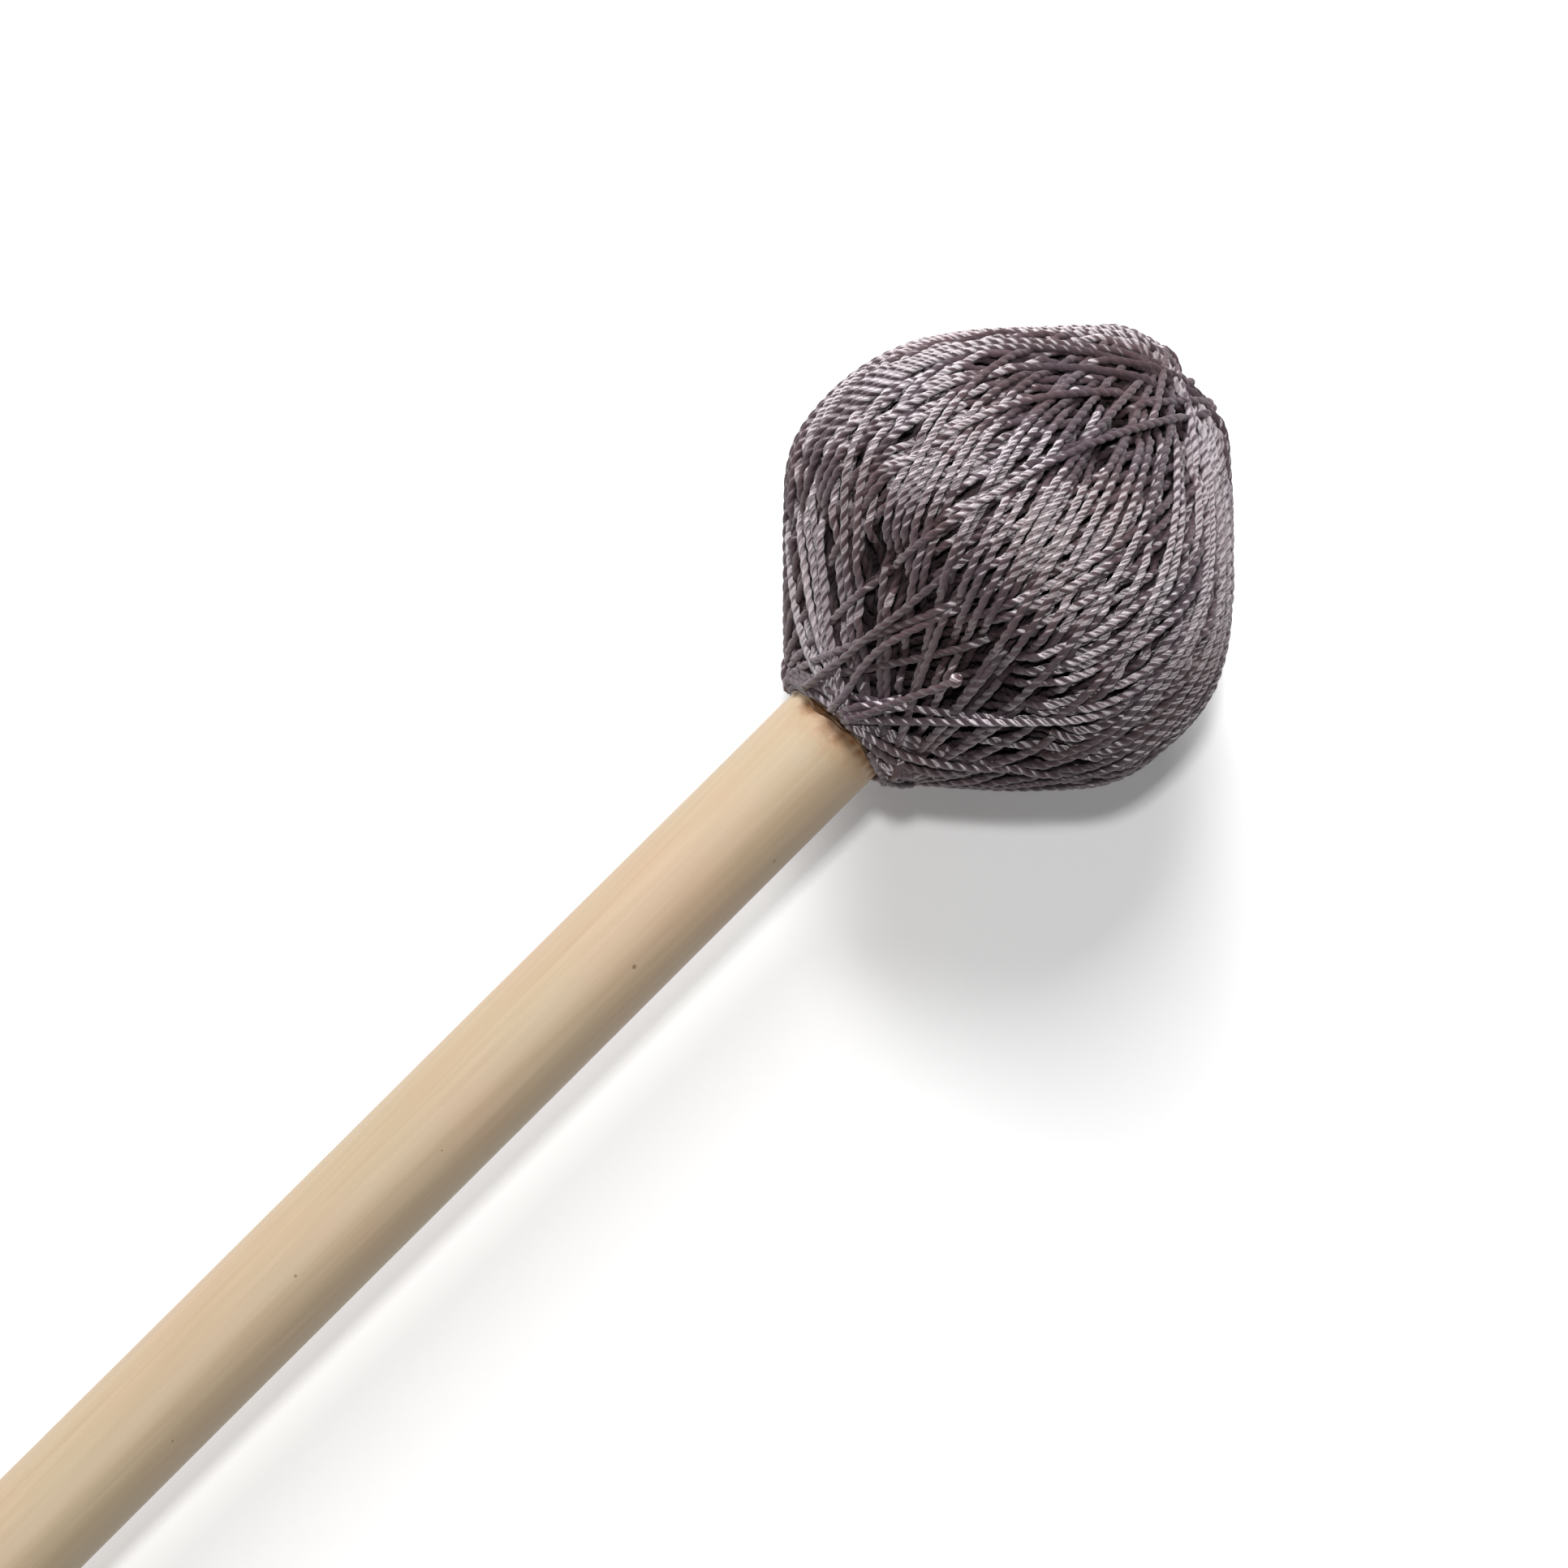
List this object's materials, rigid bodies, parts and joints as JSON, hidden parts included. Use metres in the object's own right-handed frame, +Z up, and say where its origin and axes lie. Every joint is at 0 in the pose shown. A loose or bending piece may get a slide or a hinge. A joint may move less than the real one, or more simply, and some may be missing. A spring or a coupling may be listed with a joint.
{
  "type": "vibraphone mallet",
  "caption": "Percussion mallet for vibraphone: a ball head of cord wound over a rubber core, stitched and glued at the end of a straight rattan shaft, for striking tuned metal bars.",
  "frame": {"origin": "on the table under the middle of the mallet's box as it lies at rest: the belly of the head and the lower edge of the butt touch z = 0", "axes": "+X along the mallet from butt to head, +Z up, +Y to the left seen from the butt; the shaft rises 1.92 degrees from butt to head"},
  "size_m": [0.4007, 0.0336, 0.0336],
  "materials": {
    "rattan": "sanded pale rattan cane with a thin satin seal",
    "moulded_rubber": "matte moulded rubber",
    "cured_glue": "cured amber-brown adhesive, glossy",
    "under_winding_yarn": "soft matte yarn",
    "cover_cord": "hard-laid twisted cord, lustrous grey-mauve",
    "stitching_thread": "twisted thread, lustrous grey-mauve"
  },
  "bodies": {
    "root": {"rattan_shaft": "rattan", "rubber_core": "moulded_rubber", "core_bond": "cured_glue", "under_winding": "under_winding_yarn", "cord_cover": "cover_cord", "neck_stitches": "stitching_thread", "crown_stitches": "stitching_thread", "thread_tail": "stitching_thread", "neck_glue_bead": "cured_glue"}
  },
  "joints": []
}
